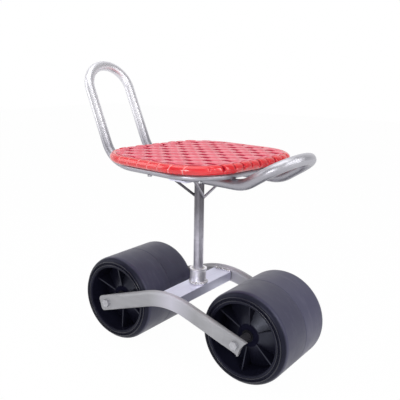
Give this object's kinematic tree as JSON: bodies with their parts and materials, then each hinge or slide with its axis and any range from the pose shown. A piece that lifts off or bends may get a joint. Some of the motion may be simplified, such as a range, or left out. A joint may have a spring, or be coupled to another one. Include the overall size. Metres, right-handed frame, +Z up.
{
  "type": "rolling garden seat",
  "caption": "Swivelling woven seat with a tube backrest and handle, on a post above two wide drum wheels carried between bent arms.",
  "frame": {"origin": "on the floor, under the middle of the overall length; the swivel's axis stands 30.6 mm from it along +X", "axes": "+Z up, +X towards the handle and the front wheel, +Y across the seat along the axles; the width along Y is the shortest extent and the height along Z the longest"},
  "size_m": [0.6151, 0.361, 0.6467],
  "materials": {
    "arm_steel": "silver paint over drawn steel, satin",
    "tube_steel": "bright zinc-plated tube, satin with faint drawing marks",
    "post_steel": "mottled zinc plating",
    "weld_bead": "rough weld under silver paint",
    "zinc_fastener": "zinc-plated",
    "bush_nylon": "natural nylon",
    "wheel_plastic": "blue-black moulded plastic with a soft sheen",
    "wheel_bush": "black nylon",
    "rim_plastic": "glossy red plastic",
    "strap_plastic": "glossy red plastic straps"
  },
  "bodies": {
    "base": {"near_arm": "arm_steel", "far_arm": "arm_steel", "cross_bar": "arm_steel", "arm_welds": "weld_bead", "pivot_collar": "arm_steel", "collar_weld": "weld_bead", "upper_bush": "bush_nylon", "lower_bush": "bush_nylon", "thrust_washer": "bush_nylon", "swivel_washer": "bush_nylon", "axle_bolts": "zinc_fastener", "axle_nuts": "zinc_fastener", "axle_washers": "zinc_fastener", "spacer_sleeves": "post_steel"},
    "front_wheel": {"front_wheel_near": "wheel_plastic", "front_wheel_far": "wheel_plastic", "front_wheel_bushes": "wheel_bush"},
    "rear_wheel": {"rear_wheel_near": "wheel_plastic", "rear_wheel_far": "wheel_plastic", "rear_wheel_bushes": "wheel_bush"},
    "seat": {"seat_post": "post_steel", "post_plug": "post_steel", "swivel_bolt": "zinc_fastener", "post_weld": "weld_bead", "front_brace": "tube_steel", "rear_brace": "tube_steel", "top_plate": "post_steel", "seat_loop": "tube_steel", "seat_ring": "tube_steel", "ring_tabs": "tube_steel", "seat_rim": "rim_plastic", "long_straps": "strap_plastic", "cross_straps": "strap_plastic", "panel_screws": "zinc_fastener"}
  },
  "joints": [
    {"name": "front_wheel_spin", "type": "hinge", "parent": "base", "child": "front_wheel", "pos_m": [0.20564, 0, 0.1], "axis": [0, 1, 0], "continuous": true},
    {"name": "rear_wheel_spin", "type": "hinge", "parent": "base", "child": "rear_wheel", "pos_m": [-0.14436, 0, 0.1], "axis": [0, 1, 0], "continuous": true},
    {"name": "seat_swivel", "type": "hinge", "parent": "base", "child": "seat", "pos_m": [0.03064, 0, 0.158], "axis": [0, 0, 1], "continuous": true}
  ]
}
